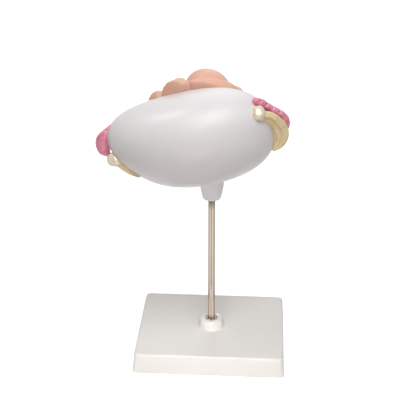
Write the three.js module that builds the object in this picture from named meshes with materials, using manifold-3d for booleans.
import * as THREE from 'three';
import { mergeVertices } from 'three/addons/utils/BufferGeometryUtils.js';
import Module from 'manifold-3d';

const wasm = await Module();
wasm.setup();

// Driving dimensions, in millimetres. Z is up, the rod stands on the origin's axis,
// the womb's open side looks along +Y and its closed back along -Y.

// Clearances
const seatGap = 0.3; // between two pieces that rest on or in each other
const runningGap = 0.08; // radial, between the rod and what it turns or slides in
const overcut = 1; // how far a cutting body reaches past the face that it opens

// Base
const baseWidth = 130;
const baseDepth = 105;
const baseHeight = 18;
const baseCornerRadius = 4;
const baseEdgeRadius = 1;
const baseDraft = 1.5; // each side leans in by this much over the height
const coverWall = 2.6;
const coverTop = 3;
const plateThickness = 3;
const ballastWidth = 92;
const ballastDepth = 62;
const ballastThickness = 5;
const ballastHoleGap = 2;

// Base screws
const screwInset = 13; // from the base's sides to each screw's axis
const screwRecess = 0.5; // from the base's underside up to the screw heads
const screwShankRadius = 1.5;
const screwHeadRadius = 3;
const screwHeadHeight = 1.5;
const screwSlotWidth = 0.8;
const screwLength = 9;
const screwBossRadius = 4;

// Collar and grip that hold the rod
const collarRadius = 11;
const collarHeight = 8;
const collarEdgeRadius = 2;
const collarFootFlare = 1; // small flare where the collar meets the base's top
const collarBoreRadius = 5.6;
const gripWall = 1;
const gripRibs = 6;
const gripRibWidth = 1.3;
const gripHeight = 16;
const gripRecess = 1; // from the collar's top down to the ribs'
const gripSleeveDrop = 4; // from the ribs' top down to the sleeve's

// Rod, bush and boss under the womb
const rodRadius = 3;
const rodTopHeight = 158.3;
const rodChamfer = 0.5;
const bushWall = 1.5;
const bossReach = 14.9; // from the rod's top down to the boss's bottom
const bossHeight = 13.6; // from the boss's bottom up to its flared root
const bossBottomRadius = 8;
const bossTopRadius = 10.2;
const bossEdgeRadius = 1.2;
const bossRootHeight = 6;
const bossRootFlare = 3;

// Womb, as an egg about its own centre
const wombRise = 37.7; // from the rod's top up to the womb's centre
const wombCentre = new THREE.Vector3(-14.8, 4, rodTopHeight + wombRise);
const wombTilt = THREE.MathUtils.degToRad(-8.5); // raises its +X end
const wombHalfLength = 68.5;
const wombHalfDepth = 43.6;
const wombHalfHeight = 40.1;
// Slight bulges make the egg fuller above its ends: share is of the radius, turn of the first bulge.
const wombLobes = [
    { sides: 2, share: 0.011, turn: THREE.MathUtils.degToRad(-25) },
    { sides: 3, share: 0.046, turn: THREE.MathUtils.degToRad(44) },
    { sides: 4, share: 0.036, turn: THREE.MathUtils.degToRad(-30) },
];
const shellWall = 3.6;
const liningWall = 3;
const openingFromCentre = 18.9; // from the womb's centre to the plane of its open side
const openingNormal = new THREE.Vector3(0.162, 0.953, 0.2555).normalize();

// Placenta and umbilical cord
const placentaRadius = 21;
const placentaThickness = 6;
const placentaDirection = new THREE.Vector3(-0.32, -0.8, 0.5).normalize();
const cordRadius = 2.6;

// Finish of each material
const finish = {
    moulding: { color: 0xe6e2e2, roughness: 0.35, metalness: 0 },
    underside: { color: 0xd8d5d4, roughness: 0.55, metalness: 0 },
    steel: { color: 0xb9b1a8, roughness: 0.25, metalness: 1 },
    ballast: { color: 0x4c4d50, roughness: 0.6, metalness: 0.8 },
    brass: { color: 0xc0a050, roughness: 0.35, metalness: 1 },
    lining: { color: 0xd9776f, roughness: 0.5, metalness: 0 },
    placenta: { color: 0x9c3438, roughness: 0.55, metalness: 0 },
    cord: { color: 0xd8c0c0, roughness: 0.4, metalness: 0 },
    tube: { color: 0xe0699a, roughness: 0.4, metalness: 0 },
    ovary: { color: 0xf0d49a, roughness: 0.35, metalness: 0 },
    ligament: { color: 0xd6c08a, roughness: 0.4, metalness: 0 },
    skin: { color: 0xe3a585, roughness: 0.45, metalness: 0 },
};

// A rounded edge is drawn with one point on its arc, this share of the radius in from both faces.
const arcMiddle = 1 - Math.SQRT1_2;

// Solids: each helper takes or gives a closed manifold solid.

function solidOf(geometry) {
    const bare = geometry.clone();
    bare.deleteAttribute('normal');
    bare.deleteAttribute('uv');
    const merged = mergeVertices(bare, 1e-4);
    const vertProperties = new Float32Array(merged.attributes.position.array);
    const triVerts = new Uint32Array(merged.index.array);
    return new wasm.Manifold(new wasm.Mesh({ numProp: 3, vertProperties, triVerts }));
}

function geometryOf(solid) {
    const mesh = solid.getMesh();
    const geometry = new THREE.BufferGeometry();
    geometry.setAttribute('position', new THREE.BufferAttribute(new Float32Array(mesh.vertProperties), 3));
    geometry.setIndex(new THREE.BufferAttribute(new Uint32Array(mesh.triVerts), 1));
    return geometry;
}

function joined(solids) {
    return solids.reduce((whole, solid) => whole.add(solid));
}

function without(solid, cutters) {
    return cutters.reduce((left, cutter) => left.subtract(cutter), solid);
}

// The outer surface alone, with any pocket between its joined forms filled.
function largestBody(solid) {
    return solid.decompose().reduce((best, body) => (body.volume() > best.volume() ? body : best));
}

function meshOf(name, solid, look) {
    const geometry = geometryOf(solid);
    geometry.computeVertexNormals();
    const mesh = new THREE.Mesh(geometry, new THREE.MeshStandardMaterial({ ...look, flatShading: true }));
    mesh.name = name;
    return mesh;
}

function cylinder(radius, bottom, top, x = 0, y = 0, sides = 24) {
    const geometry = new THREE.CylinderGeometry(radius, radius, top - bottom, sides);
    geometry.rotateX(Math.PI / 2);
    geometry.translate(x, y, (bottom + top) / 2);
    return solidOf(geometry);
}

// A bore is drawn round its facets, so that its flats stand at the radius asked for.
function bore(radius, bottom, top, x = 0, y = 0, sides = 24) {
    return cylinder(radius / Math.cos(Math.PI / sides), bottom, top, x, y, sides);
}

function block(width, depth, bottom, top, x = 0, y = 0) {
    const geometry = new THREE.BoxGeometry(width, depth, top - bottom);
    geometry.translate(x, y, (bottom + top) / 2);
    return solidOf(geometry);
}

function turned(profile, sides = 28) {
    const geometry = new THREE.LatheGeometry(profile, sides);
    geometry.rotateX(Math.PI / 2);
    return solidOf(geometry);
}

function roundedOutline(width, depth, radius) {
    const outline = new THREE.Shape();
    const right = width / 2 - radius;
    const back = depth / 2 - radius;
    outline.absarc(right, back, radius, 0, Math.PI / 2);
    outline.absarc(-right, back, radius, Math.PI / 2, Math.PI);
    outline.absarc(-right, -back, radius, Math.PI, 1.5 * Math.PI);
    outline.absarc(right, -back, radius, 1.5 * Math.PI, 2 * Math.PI);
    return outline;
}

// A moulded slab that narrows by draft on each side from its bottom to its top.
function draftedSlab(width, depth, radius, bottom, top, draft, edge) {
    const geometry = new THREE.ExtrudeGeometry(roundedOutline(width - 2 * edge, depth - 2 * edge, radius), {
        depth: top - bottom - 2 * edge,
        bevelEnabled: edge > 0,
        bevelThickness: edge,
        bevelSize: edge,
        bevelSegments: 2,
        curveSegments: 3,
    });
    geometry.translate(0, 0, bottom + edge);
    const position = geometry.attributes.position;
    for (let i = 0; i < position.count; i += 1) {
        const share = (position.getZ(i) - bottom) / (top - bottom);
        position.setX(i, position.getX(i) * (1 - (share * draft * 2) / width));
        position.setY(i, position.getY(i) * (1 - (share * draft * 2) / depth));
    }
    return solidOf(geometry);
}

// A body of changing oval section along a curve. Stations are [x, y, z, half width, half thickness],
// and faceAxis is the direction that the section's thickness looks along.
const sweepDetail = { faceAxis: new THREE.Vector3(0, 1, 0), rings: 12, sides: 10, grow: 0 };

function sweptBody(stations, detail) {
    const { faceAxis, rings, sides, grow } = { ...sweepDetail, ...detail };
    const path = new THREE.CatmullRomCurve3(stations.map(([x, y, z]) => new THREE.Vector3(x, y, z)));
    const last = stations.length - 1;
    const sizeAt = (along, item) => {
        const low = Math.min(Math.floor(along * last), last - 1);
        const share = along * last - low;
        return THREE.MathUtils.lerp(stations[low][item], stations[low + 1][item], share) + grow;
    };
    const profile = [];
    const capRings = 3;
    for (let i = 0; i <= capRings; i += 1) {
        const angle = (i / capRings) * (Math.PI / 2);
        profile.push({ along: 0, back: Math.cos(angle), wide: Math.sin(angle) });
    }
    for (let i = 1; i < rings; i += 1) {
        profile.push({ along: i / rings, back: 0, wide: 1 });
    }
    for (let i = capRings; i >= 0; i -= 1) {
        const angle = (i / capRings) * (Math.PI / 2);
        profile.push({ along: 1, back: -Math.cos(angle), wide: Math.sin(angle) });
    }
    const outline = profile.map(({ wide }, i) => new THREE.Vector2(wide, i));
    const geometry = new THREE.LatheGeometry(outline, sides);
    const position = geometry.attributes.position;
    const point = new THREE.Vector3();
    for (let i = 0; i < position.count; i += 1) {
        const ring = profile[Math.round(position.getY(i))];
        const tangent = path.getTangent(ring.along).normalize();
        const side = new THREE.Vector3().crossVectors(faceAxis, tangent).normalize();
        const face = new THREE.Vector3().crossVectors(tangent, side);
        const halfWidth = sizeAt(ring.along, 3);
        const halfThickness = sizeAt(ring.along, 4);
        path.getPoint(ring.along, point);
        point.addScaledVector(side, position.getX(i) * halfWidth);
        point.addScaledVector(face, position.getZ(i) * halfThickness);
        point.addScaledVector(tangent, -ring.back * Math.min(halfWidth, halfThickness));
        position.setXYZ(i, point.x, point.y, point.z);
    }
    return facingOut(solidOf(geometry), geometry);
}

// A lathe whose profile runs the other way round comes out inside out, and is turned here.
function facingOut(solid, geometry) {
    if (solid.volume() > 0) {
        return solid;
    }
    const index = geometry.index.array;
    for (let i = 0; i < index.length; i += 3) {
        [index[i], index[i + 1]] = [index[i + 1], index[i]];
    }
    return solidOf(geometry);
}

function ovalBall(centre, halfSizes, rotation = new THREE.Euler(), segments = 14) {
    const geometry = new THREE.SphereGeometry(1, segments, Math.round(segments * 0.7));
    geometry.scale(...halfSizes);
    geometry.applyMatrix4(new THREE.Matrix4().makeRotationFromEuler(rotation));
    geometry.translate(...centre);
    return solidOf(geometry);
}

// Base: a hollow moulded cover, closed below by a plate that the base stands on.

const plateTop = plateThickness;
const innerCornerRadius = baseCornerRadius - baseEdgeRadius;
const hollowHeight = baseHeight - coverTop + overcut;
const screwHeadTop = screwRecess + screwHeadHeight;
const collarTop = baseHeight + collarHeight;
const screwX = baseWidth / 2 - screwInset;
const screwY = baseDepth / 2 - screwInset;
const corners = [[1, 1], [-1, 1], [-1, -1], [1, -1]];

function makeCover() {
    const outer = draftedSlab(
        baseWidth, baseDepth, baseCornerRadius, 0, baseHeight, baseDraft, baseEdgeRadius,
    );
    const hollow = draftedSlab(
        baseWidth - 2 * coverWall, baseDepth - 2 * coverWall, innerCornerRadius,
        -overcut, baseHeight - coverTop, baseDraft, 0,
    );
    const sleeveRadius = collarBoreRadius + coverWall;
    const footRadius = collarRadius + collarFootFlare;
    const arcInset = collarEdgeRadius * arcMiddle;
    const collar = turned([
        new THREE.Vector2(0, plateTop + seatGap),
        new THREE.Vector2(sleeveRadius, plateTop + seatGap),
        new THREE.Vector2(sleeveRadius, baseHeight - coverTop),
        new THREE.Vector2(footRadius, baseHeight - coverTop / 2),
        new THREE.Vector2(footRadius, baseHeight),
        new THREE.Vector2(collarRadius, baseHeight + collarFootFlare),
        new THREE.Vector2(collarRadius, collarTop - collarEdgeRadius),
        new THREE.Vector2(collarRadius - arcInset, collarTop - arcInset),
        new THREE.Vector2(collarRadius - collarEdgeRadius, collarTop),
        new THREE.Vector2(0, collarTop),
    ], 28);
    const screwBosses = corners.map(([x, y]) => cylinder(
        screwBossRadius, plateTop + seatGap, baseHeight - coverTop / 2, x * screwX, y * screwY, 16,
    ));
    const screwHoles = corners.map(([x, y]) => bore(
        screwShankRadius + seatGap, 0, screwHeadTop + screwLength + seatGap, x * screwX, y * screwY, 12,
    ));
    const body = joined([outer.subtract(hollow), collar, ...screwBosses]);
    return without(body, [...screwHoles, bore(collarBoreRadius, 0, collarTop + overcut, 0, 0, 28)]);
}

function makePlate() {
    const leanAtTop = (baseDraft * (plateTop + overcut)) / hollowHeight;
    const inset = coverWall + leanAtTop + seatGap;
    const width = baseWidth - 2 * inset;
    const depth = baseDepth - 2 * inset;
    const slab = draftedSlab(width, depth, innerCornerRadius, 0, plateTop, 0, 0);
    const cutters = corners.flatMap(([x, y]) => [
        bore(screwShankRadius + seatGap, -overcut, plateTop + overcut, x * screwX, y * screwY, 12),
        bore(screwHeadRadius + seatGap, -overcut, screwHeadTop + seatGap, x * screwX, y * screwY, 16),
    ]);
    return without(slab, cutters);
}

function makeScrew(x, y) {
    const shank = cylinder(screwShankRadius, screwRecess, screwHeadTop + screwLength, x, y, 10);
    const head = cylinder(screwHeadRadius, screwRecess, screwHeadTop, x, y, 14);
    const slotDepth = screwHeadHeight / 2;
    const slot = block(3 * screwHeadRadius, screwSlotWidth, 0, screwRecess + slotDepth, x, y);
    return head.add(shank).subtract(slot);
}

function makeBallast() {
    const bottom = plateTop + seatGap;
    const slab = draftedSlab(
        ballastWidth, ballastDepth, baseCornerRadius, bottom, bottom + ballastThickness, 0, 0,
    );
    const hole = bore(collarBoreRadius + coverWall + ballastHoleGap, 0, baseHeight);
    return slab.subtract(hole);
}

// Grip: a thin sleeve round the rod, held in the collar's bore by ribs, with gaps between them.
function makeGrip() {
    const sleeveRadius = rodRadius + runningGap + gripWall;
    const top = collarTop - gripRecess;
    const bottom = top - gripHeight;
    const ribReach = collarBoreRadius - seatGap;
    const solids = [cylinder(sleeveRadius, bottom, top - gripSleeveDrop)];
    for (let i = 0; i < gripRibs; i += 1) {
        const angle = (i / gripRibs) * 2 * Math.PI;
        const geometry = new THREE.BoxGeometry(ribReach - rodRadius, gripRibWidth, gripHeight);
        geometry.translate((ribReach + rodRadius) / 2, 0, (bottom + top) / 2);
        geometry.rotateZ(angle);
        solids.push(solidOf(geometry));
    }
    return joined(solids).subtract(bore(rodRadius + runningGap, 0, top + overcut));
}

function makeRod() {
    const bottom = plateTop + seatGap;
    return turned([
        new THREE.Vector2(0, bottom),
        new THREE.Vector2(rodRadius - rodChamfer, bottom),
        new THREE.Vector2(rodRadius, bottom + rodChamfer),
        new THREE.Vector2(rodRadius, rodTopHeight - rodChamfer),
        new THREE.Vector2(rodRadius - rodChamfer, rodTopHeight),
        new THREE.Vector2(0, rodTopHeight),
    ], 24);
}

// Womb: nested eggs, open in front. A point of an egg is set by its sphere's direction.

function egg(inset, segments) {
    const roundFacets = 1 / Math.cos(Math.PI / segments);
    const geometry = new THREE.SphereGeometry(roundFacets, segments, Math.round(segments * 0.6));
    geometry.rotateX(Math.PI / 2);
    const position = geometry.attributes.position;
    for (let i = 0; i < position.count; i += 1) {
        const x = position.getX(i);
        const y = position.getY(i);
        const z = position.getZ(i);
        const round = Math.atan2(z, x);
        const lobes = wombLobes.map(({ sides, share, turn }) => share * Math.cos(sides * (round - turn)));
        const bulge = 1 + (x * x + z * z) * lobes.reduce((sum, lobe) => sum + lobe);
        position.setXYZ(
            i, (wombHalfLength - inset) * x * bulge, (wombHalfDepth - inset) * y,
            (wombHalfHeight - inset) * z * bulge,
        );
    }
    return solidOf(geometry);
}

const eggSegments = 30;
const wombPlace = new THREE.Matrix4().compose(
    wombCentre, new THREE.Quaternion().setFromAxisAngle(new THREE.Vector3(0, 1, 0), wombTilt),
    new THREE.Vector3(1, 1, 1),
);
const intoWomb = wombPlace.clone().invert();

// Everything in front of the opening's plane, as one large block.
function frontBlock(from) {
    const reach = 4 * wombHalfLength;
    const geometry = new THREE.BoxGeometry(reach, reach, reach);
    geometry.translate(0, 0, reach / 2 + from);
    const turn = new THREE.Quaternion().setFromUnitVectors(new THREE.Vector3(0, 0, 1), openingNormal);
    geometry.applyMatrix4(new THREE.Matrix4().makeRotationFromQuaternion(turn));
    return solidOf(geometry);
}

// The space that the cavity's mouth sweeps when it is drawn straight back from the opening's plane.
function drawSpace() {
    const sliceDepth = 1;
    const stretch = (2 * wombHalfDepth) / sliceDepth;
    const mouth = egg(cavityInset + seatGap, eggSegments)
        .intersect(frontBlock(openingFromCentre - sliceDepth))
        .subtract(frontBlock(openingFromCentre));
    const geometry = geometryOf(mouth);
    const position = geometry.attributes.position;
    const point = new THREE.Vector3();
    for (let i = 0; i < position.count; i += 1) {
        point.fromBufferAttribute(position, i);
        const behind = openingFromCentre - point.dot(openingNormal);
        point.addScaledVector(openingNormal, overcut - behind * stretch);
        position.setXYZ(i, point.x, point.y, point.z);
    }
    return solidOf(geometry);
}

function inWombFrame(geometry) {
    geometry.applyMatrix4(intoWomb);
    return solidOf(geometry);
}

const bushRadius = rodRadius + runningGap + bushWall;
const bossBottomHeight = rodTopHeight - bossReach;
const bossTopHeight = bossBottomHeight + bossHeight;
const bushTop = rodTopHeight + seatGap;
const bushBottom = bossBottomHeight + bossEdgeRadius;
const boreTop = bushTop + seatGap;

function latheAlongZ(profile, sides) {
    const geometry = new THREE.LatheGeometry(profile, sides);
    geometry.rotateX(Math.PI / 2);
    return geometry;
}

// The boss goes on up into the womb's wall, and the womb's hollow cuts it off there.
function makeShell() {
    const outer = egg(0, eggSegments);
    const arcInset = bossEdgeRadius * arcMiddle;
    const rootRadius = bossTopRadius + bossRootFlare;
    const bossProfile = [
        new THREE.Vector2(0, bossBottomHeight),
        new THREE.Vector2(bossBottomRadius - bossEdgeRadius, bossBottomHeight),
        new THREE.Vector2(bossBottomRadius - arcInset, bossBottomHeight + arcInset),
        new THREE.Vector2(bossBottomRadius, bossBottomHeight + bossEdgeRadius),
        new THREE.Vector2(bossTopRadius, bossTopHeight),
        new THREE.Vector2(rootRadius, bossTopHeight + bossRootHeight),
        new THREE.Vector2(rootRadius, wombCentre.z),
        new THREE.Vector2(0, wombCentre.z),
    ];
    const boss = inWombFrame(latheAlongZ(bossProfile, 32));
    const boreBottom = bossBottomHeight - overcut;
    const boreRadius = bushRadius + seatGap;
    const boreGeometry = new THREE.CylinderGeometry(boreRadius, boreRadius, boreTop - boreBottom, 24);
    boreGeometry.rotateX(Math.PI / 2);
    boreGeometry.translate(0, 0, (boreTop + boreBottom) / 2);
    const bossBore = inWombFrame(boreGeometry);
    const hollow = egg(shellWall, eggSegments);
    return without(outer.add(boss), [hollow, bossBore, frontBlock(openingFromCentre)]);
}

function makeLining() {
    const outer = egg(shellWall + seatGap, eggSegments);
    const hollow = egg(shellWall + seatGap + liningWall, eggSegments);
    return without(outer, [hollow, frontBlock(openingFromCentre - seatGap)]);
}

function makeBush() {
    const hole = bore(rodRadius + runningGap, bushBottom - overcut, bushTop + overcut);
    return cylinder(bushRadius, bushBottom, bushTop).subtract(hole);
}

// Tubes, ovaries and ligaments lie on the shell, so each is cut to its outer surface.
// Their places are shares of the womb's half sizes, so that they stay on it; their sizes are in millimetres.

const onShell = egg(-seatGap, eggSegments);

function onWomb(stations) {
    return stations.map(([x, y, z, ...sizes]) => (
        [x * wombHalfLength, y * wombHalfDepth, z * wombHalfHeight, ...sizes]
    ));
}

const rightTubeStations = onWomb([
    [0.759, -0.161, 0.713, 2.3, 2.3], [0.857, -0.126, 0.613, 3.1, 3], [0.949, -0.08, 0.464, 3, 3],
    [1.042, -0.046, 0.349, 2.9, 2.9], [1.104, -0.023, 0.239, 3.5, 3.3], [1.13, 0, 0.115, 3, 3.2],
    [1.095, 0.092, -0.025, 3.6, 4],
]);
const leftTubeStations = onWomb([
    [-0.956, -0.069, 0.474, 1.6, 2], [-1.029, -0.08, 0.334, 4, 3.6], [-1.089, -0.092, 0.185, 6, 5],
    [-1.095, -0.115, 0.025, 5.6, 5], [-1.072, -0.115, -0.075, 3, 3.4],
]);
const rightOvary = { station: [0.812, -0.378, 0.509], half: [5.4, 4.6, 7], lean: 0.25 };
const leftOvary = { station: [-0.984, -0.287, -0.219], half: [6.3, 5, 5.8], lean: 0.3 };
const rightLigamentStations = onWomb([
    [0.832, -0.344, 0.474, 3.2, 2.4], [0.912, -0.264, 0.334, 4.2, 2.4], [1.001, -0.161, 0.175, 6, 2.3],
    [1.039, -0.115, -0.06, 6.6, 2.2], [1.001, -0.092, -0.259, 5.4, 2.2], [0.94, -0.092, -0.399, 2.6, 2],
]);
const leftLigamentStations = onWomb([
    [-0.934, -0.353, -0.264, 3.4, 3], [-0.847, -0.45, -0.324, 3, 2.6], [-0.759, -0.5, -0.434, 2.4, 2.2],
    [-0.657, -0.537, -0.539, 1.4, 1.4],
]);

function ovaryBall(ovary, grow) {
    const [centre] = onWomb([ovary.station]);
    return ovalBall(centre, ovary.half.map((half) => half + grow), new THREE.Euler(0, ovary.lean, 0), 18);
}

function makeTube(stations, ovary) {
    return without(sweptBody(stations, { rings: 14, sides: 10 }), [onShell, ovaryBall(ovary, seatGap)]);
}

function makeLigament(stations, ovary, tubeStations) {
    const tubeSpace = sweptBody(tubeStations, { rings: 14, sides: 10, grow: seatGap });
    const band = sweptBody(stations, { rings: 12, sides: 10 });
    return without(band, [onShell, ovaryBall(ovary, seatGap), tubeSpace]);
}

// Placenta: a thick patch of the lining's inside.

const cavityInset = shellWall + seatGap + liningWall + seatGap;

function placentaPatch(grow) {
    const patch = egg(cavityInset - grow, eggSegments).subtract(
        egg(cavityInset + placentaThickness + grow, eggSegments),
    );
    const radius = placentaRadius + grow;
    const geometry = new THREE.CylinderGeometry(radius, radius, wombHalfLength, 28);
    geometry.translate(0, wombHalfLength / 2, 0);
    const turn = new THREE.Quaternion().setFromUnitVectors(new THREE.Vector3(0, 1, 0), placentaDirection);
    geometry.applyMatrix4(new THREE.Matrix4().makeRotationFromQuaternion(turn));
    return patch.intersect(solidOf(geometry));
}

// Fetus: one casting, curled on its back with its head at the +X end, in the womb's frame.

const headCentre = new THREE.Vector3(14.2, 25.5, 30);
const faceDirection = new THREE.Vector3(-0.8, 0.52, 0.2).normalize();
const headHalfWidth = 16.8;
const headHalfDepth = 20.5;
const headHalfHeight = 17.6;
const earInset = 0.8; // from the head's side in to the ear's middle

// Rounded forms of the head, placed forwards, sideways and upwards from its centre.
const headForms = {
    skull: { at: [0, 0, 0], half: [headHalfDepth, headHalfWidth, headHalfHeight], segments: 20 },
    face: { at: [10, 0, -10], half: [11, 11.5, 9.5], segments: 12 },
    nose: { at: [20.5, 0, -3.5], half: [2.6, 2.4, 3], segments: 8 },
    leftEar: { at: [-1, headHalfWidth - earInset, -4], half: [3.4, 2.2, 4.6], segments: 10 },
    rightEar: { at: [-1, earInset - headHalfWidth, -4], half: [3.4, 2.2, 4.6], segments: 10 },
};

// Places a point of the head given along its face, side and crown directions.
function headFrame() {
    const crown = new THREE.Vector3(0.06, 0, 1);
    crown.addScaledVector(faceDirection, -crown.dot(faceDirection)).normalize();
    const side = new THREE.Vector3().crossVectors(crown, faceDirection);
    return new THREE.Matrix4().makeBasis(faceDirection, side, crown).setPosition(headCentre);
}

function headBall({ at, half, segments }) {
    const geometry = new THREE.SphereGeometry(1, segments, Math.round(segments * 0.7));
    geometry.scale(...half);
    geometry.translate(...at);
    geometry.applyMatrix4(headFrame());
    return solidOf(geometry);
}

const neckStations = [[22, 25, 22, 9, 9], [31, 23, 14, 10.5, 11]];
const shoulder = { centre: [36.5, 24.5, 22], half: [9, 10, 9.6] };
const trunkStations = [
    [28, 24, 20, 9, 9.5], [37, 22, 12, 12.5, 16], [33, 20, -2, 15, 17], [15, 17.5, -8.5, 15.5, 16.5],
    [-4, 16.5, -9.5, 15, 15.5], [-18, 16.5, -8.5, 13, 15],
];
const leftLegStations = [
    [-14, 11, -6, 9.5, 9], [-21.5, 17, 11, 8.5, 8], [-29.5, 25.5, 28, 7.2, 6.8], [-34.5, 27.5, 14, 6.2, 6.2],
    [-33.5, 28.5, -1, 4.4, 4.6],
];
const rightLegStations = [
    [-14, 23, -7, 9.5, 9], [-20, 32, 6, 8.5, 8], [-26, 40, 20, 7.2, 6.8], [-30, 40, 7, 6.2, 6.2],
    [-28.5, 38.5, -5.5, 4.4, 4.6],
];
const leftFootStations = [[-33, 28.5, -3, 4.6, 4.6], [-28, 33, -6.5, 3.4, 5], [-21.5, 37, -8.5, 2.4, 4.6]];
const rightFootStations = [
    [-28.5, 39, -8, 4.4, 4.4], [-22.5, 43, -10.5, 3.3, 4.8], [-16, 46, -11.5, 2.4, 4.4],
];
const leftArmStations = [
    [36, 18, 22, 8.5, 8.5], [31, 14.5, 30.5, 8, 7.5], [22, 12.5, 36, 6.6, 6.2], [12, 12, 38.4, 6.2, 6],
    [3, 13, 38.4, 5.4, 5.4], [-3, 15, 37.5, 4.8, 4.8],
];
const leftHandStations = [[-4, 17.5, 39, 6.2, 5.8], [-10, 20, 39, 8.2, 7], [-17, 23, 36, 7.4, 6.4]];
const rightArmStations = [
    [34, 34, 12, 7, 7], [23, 40, 3, 6, 6], [11, 43, 0, 5.4, 5.4], [2, 43, 8, 5, 5], [-4, 42.5, 15, 4.2, 4.2],
];
const rightHandStations = [[-5, 42.5, 17, 4.6, 3.8], [-8.5, 41, 22.5, 6.2, 3.8], [-10, 39.5, 27, 4, 3]];

function makeFetus() {
    const body = { rings: 13, sides: 12 };
    const limb = { rings: 9, sides: 9 };
    const small = { rings: 5, sides: 8 };
    const whole = joined([
        ...Object.values(headForms).map(headBall),
        sweptBody(neckStations, small),
        ovalBall(shoulder.centre, shoulder.half),
        sweptBody(trunkStations, body),
        sweptBody(leftLegStations, body),
        sweptBody(rightLegStations, body),
        sweptBody(leftFootStations, small),
        sweptBody(rightFootStations, small),
        sweptBody(leftArmStations, limb),
        sweptBody(leftHandStations, small),
        sweptBody(rightArmStations, limb),
        sweptBody(rightHandStations, small),
    ]);
    // Behind the rim it stays inside the cavity and its draw, so that it comes straight out.
    const cavity = egg(cavityInset, eggSegments).intersect(drawSpace());
    return largestBody(whole.intersect(cavity.add(frontBlock(openingFromCentre))));
}

// Umbilical cord, from the belly up between hands and knees, and back in to the placenta.
const cordPoints = [
    [-3, 23, 2], [-7, 31, 8], [-12, 36, 15], [-15, 33, 21.5], [-15.5, 25, 23.5], [-15, 16, 22], [-15, 7, 19],
    [-16.5, -3, 16.5], [-18.5, -13, 15], [-20.5, -24, 14.2],
];

const cordStations = cordPoints.map(([x, y, z]) => [x, y, z, cordRadius, cordRadius]);

function makeCord(fetus) {
    const cord = sweptBody(cordStations, { rings: 34, sides: 8, faceAxis: new THREE.Vector3(1, 0, 0) });
    return without(cord, [fetus, placentaPatch(seatGap)]);
}

// Assembly: the base stands still, the womb's group sits on the rod.

const model = new THREE.Group();
const base = new THREE.Group();
model.add(base);
base.add(meshOf('base_cover', makeCover(), finish.moulding));
base.add(meshOf('base_plate', makePlate(), finish.underside));
base.add(meshOf('ballast_plate', makeBallast(), finish.ballast));
corners.forEach(([x, y], i) => {
    base.add(meshOf(`base_screw_${i + 1}`, makeScrew(x * screwX, y * screwY), finish.steel));
});
base.add(meshOf('rod_grip', makeGrip(), finish.moulding));
base.add(meshOf('support_rod', makeRod(), finish.steel));
base.add(meshOf('rod_bush', makeBush(), finish.brass));

const womb = new THREE.Group();
womb.position.copy(wombCentre);
womb.rotation.y = wombTilt;
model.add(womb);
womb.add(meshOf('womb_shell', makeShell(), finish.moulding));
womb.add(meshOf('womb_lining', makeLining(), finish.lining));
womb.add(meshOf('placenta', placentaPatch(0), finish.placenta));
womb.add(meshOf('right_tube', makeTube(rightTubeStations, rightOvary), finish.tube));
womb.add(meshOf('left_tube', makeTube(leftTubeStations, leftOvary), finish.tube));
womb.add(meshOf('right_ovary', ovaryBall(rightOvary, 0).subtract(onShell), finish.ovary));
womb.add(meshOf('left_ovary', ovaryBall(leftOvary, 0).subtract(onShell), finish.ovary));
womb.add(meshOf(
    'right_ligament', makeLigament(rightLigamentStations, rightOvary, rightTubeStations), finish.ligament,
));
womb.add(meshOf(
    'left_ligament', makeLigament(leftLigamentStations, leftOvary, leftTubeStations), finish.ligament,
));
const fetusSolid = makeFetus();
womb.add(meshOf('fetus', fetusSolid, finish.skin));
womb.add(meshOf('umbilical_cord', makeCord(fetusSolid), finish.cord));

export default model;
